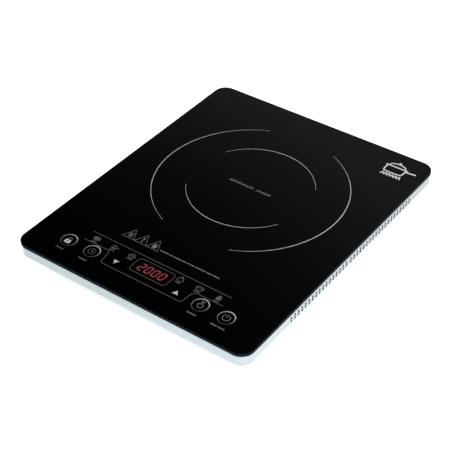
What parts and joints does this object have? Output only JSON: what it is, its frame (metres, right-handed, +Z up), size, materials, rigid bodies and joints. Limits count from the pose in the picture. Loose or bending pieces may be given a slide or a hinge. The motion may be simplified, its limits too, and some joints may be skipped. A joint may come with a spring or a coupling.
{
  "type": "portable induction cooktop",
  "caption": "Slim free-standing induction cooktop: black glass plate with rounded corners on a silver band with side vents, over a sloped dark tray on rubber feet, with a cooling fan inside.",
  "frame": {"origin": "middle of the table surface under the four feet", "axes": "+Z up to the cooking surface, -Y towards the control edge, +X to the right as the user sees it"},
  "size_m": [0.28, 0.348, 0.038],
  "materials": {
    "glass": "polished black ceramic glass",
    "silver_paint": "satin silver paint on moulded plastic",
    "tray_plastic": "fine moulded texture",
    "black_rubber": "matte",
    "zinc_steel": "zinc plated",
    "brass": "plain",
    "copper_wire": "enamelled copper wire",
    "aluminium": "extruded",
    "ferrite": "sintered, matte",
    "mica": "pressed mica sheet",
    "nylon": "moulded",
    "board": "lacquered circuit board",
    "resin": "moulded epoxy",
    "film_yellow": "capacitor case",
    "film_blue": "capacitor case",
    "black_plastic": "moulded",
    "red_filter": "light filter"
  },
  "bodies": {
    "housing": {"glass_top": "glass", "glass_seal": "black_rubber", "upper_frame": "silver_paint", "base_tray": "tray_plastic", "foot_front_left": "black_rubber", "foot_front_right": "black_rubber", "foot_back_left": "black_rubber", "foot_back_right": "black_rubber", "housing_screws": "zinc_steel", "cord_bush": "black_rubber", "coil_former": "nylon", "induction_coil": "copper_wire", "ferrite_bars": "ferrite", "mica_sheet": "mica", "coil_screws": "zinc_steel", "sensor_boot": "nylon", "thermistor": "aluminium", "sensor_lead": "resin", "coil_lead_inner": "copper_wire", "coil_lead_outer": "copper_wire", "main_board": "board", "board_screws": "zinc_steel", "heatsink": "aluminium", "heatsink_screws": "zinc_steel", "power_transistor": "resin", "bridge_rectifier": "resin", "resonant_capacitor": "film_blue", "filter_capacitor": "film_yellow", "line_capacitor": "film_yellow", "choke_core": "ferrite", "choke_winding": "copper_wire", "fuse": "zinc_steel", "varistor": "film_blue", "current_transformer": "resin", "supply_transformer": "film_yellow", "smoothing_capacitor_1": "resin", "smoothing_capacitor_2": "resin", "buzzer": "resin", "coil_terminals": "brass", "mains_terminals": "zinc_steel", "fan_frame": "black_plastic", "fan_stator": "copper_wire", "fan_bearing": "brass", "fan_screws": "zinc_steel", "fan_socket": "nylon", "fan_lead": "red_filter", "control_bracket": "black_plastic", "bracket_screws": "zinc_steel", "control_board": "board", "display_module": "red_filter", "indicator_lamps": "nylon", "touch_springs": "zinc_steel", "control_chip": "resin", "ribbon_cable": "nylon"},
    "fan": {"fan_rotor": "black_plastic", "fan_magnet": "ferrite", "fan_shaft": "zinc_steel"}
  },
  "joints": [
    {"name": "fan_spin", "type": "hinge", "parent": "housing", "child": "fan", "pos_m": [0.064, -0.102, 0.0175], "axis": [0, 0, 1], "continuous": true}
  ]
}
